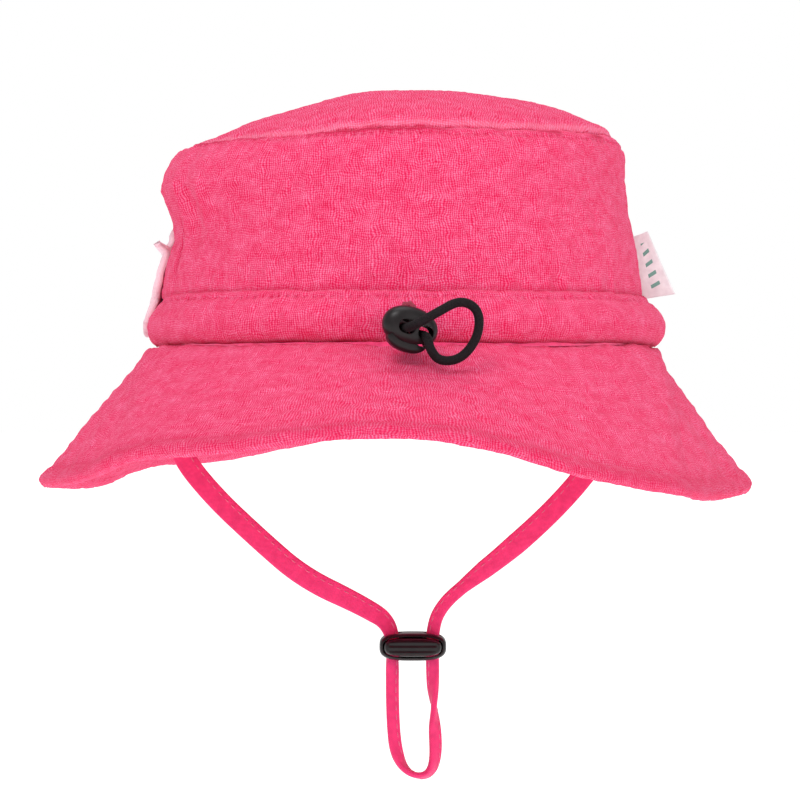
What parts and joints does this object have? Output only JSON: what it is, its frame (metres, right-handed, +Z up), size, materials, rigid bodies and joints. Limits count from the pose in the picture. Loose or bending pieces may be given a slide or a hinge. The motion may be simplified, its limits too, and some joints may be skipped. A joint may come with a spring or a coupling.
{
  "type": "bucket hat",
  "caption": "Child's terry bucket hat with a domed tip, wavy brim, elastic drawcord with cord lock, chin strap with toggle, side ribbon tab and flower applique.",
  "frame": {"origin": "centre of the head opening, in the plane of the seam between crown and brim", "axes": "+Z up out of the crown, +Y towards the front of the hat, +X to the wearer's right"},
  "size_m": [0.2374, 0.28, 0.2194],
  "materials": {
    "terry": "looped terry towelling",
    "interlining": "matt nonwoven",
    "lining": "plain cotton weave",
    "sweatband": "smooth cotton tape",
    "elastic_cord": "braided elastic",
    "thread": "polyester thread",
    "toggle_plastic": "satin moulded plastic",
    "spring_steel": "drawn wire",
    "strap": "smooth woven, edge stitched",
    "label": "satin ribbon",
    "flower_felt": "soft felt"
  },
  "bodies": {
    "hat": {"crown_tip": "terry", "crown_wall_back": "terry", "crown_wall_front": "terry", "crown_band": "terry", "brim_top_back": "terry", "brim_top_front": "terry", "brim_underside_back": "terry", "brim_underside_front": "terry", "brim_interlining_back": "interlining", "brim_interlining_front": "interlining", "crown_tip_lining": "lining", "crown_lining_back": "lining", "crown_lining_front": "lining", "sweatband": "sweatband", "drawcord_in_casing": "elastic_cord", "drawcord_legs": "elastic_cord", "buttonhole_stitching": "thread", "strap_bar_tacks": "thread", "side_label": "label", "flower_outer_petals": "flower_felt", "flower_inner_petals": "flower_felt", "flower_centre": "flower_felt"},
    "chin_strap_body": {"chin_strap": "strap"},
    "chin_toggle_body": {"chin_toggle_shell": "toggle_plastic", "chin_toggle_spring": "spring_steel"},
    "chin_button_body": {"chin_toggle_plunger": "toggle_plastic"},
    "cord_toggle_body": {"cord_toggle_shell": "toggle_plastic", "cord_toggle_spring": "spring_steel", "drawcord_loop": "elastic_cord"},
    "cord_button_body": {"cord_toggle_plunger": "toggle_plastic"}
  },
  "joints": [
    {"name": "chin_strap_swing", "type": "hinge", "parent": "hat", "child": "chin_strap_body", "pos_m": [0, 0, -0.0005], "axis": [1, 0, 0], "range_deg": [-60, 60]},
    {"name": "chin_toggle_slide", "type": "slide", "parent": "chin_strap_body", "child": "chin_toggle_body", "axis": [0, 0, 1], "range_m": [-0.016, 0]},
    {"name": "chin_button_press", "type": "slide", "parent": "chin_toggle_body", "child": "chin_button_body", "axis": [0, 1, 0], "range_m": [0, 0.003], "stiffness_N_per_m": 400, "deforming": ["chin_toggle_spring"]},
    {"name": "drawcord_pull", "type": "slide", "parent": "hat", "child": "cord_toggle_body", "axis": [0, -1, 0], "range_m": [0, 0.015], "stiffness_N_per_m": 60, "deforming": ["drawcord_legs"]},
    {"name": "cord_button_press", "type": "slide", "parent": "cord_toggle_body", "child": "cord_button_body", "axis": [0.2998, 0.0748, 0.9511], "range_m": [0, 0.0022], "stiffness_N_per_m": 400, "deforming": ["cord_toggle_spring"]}
  ]
}
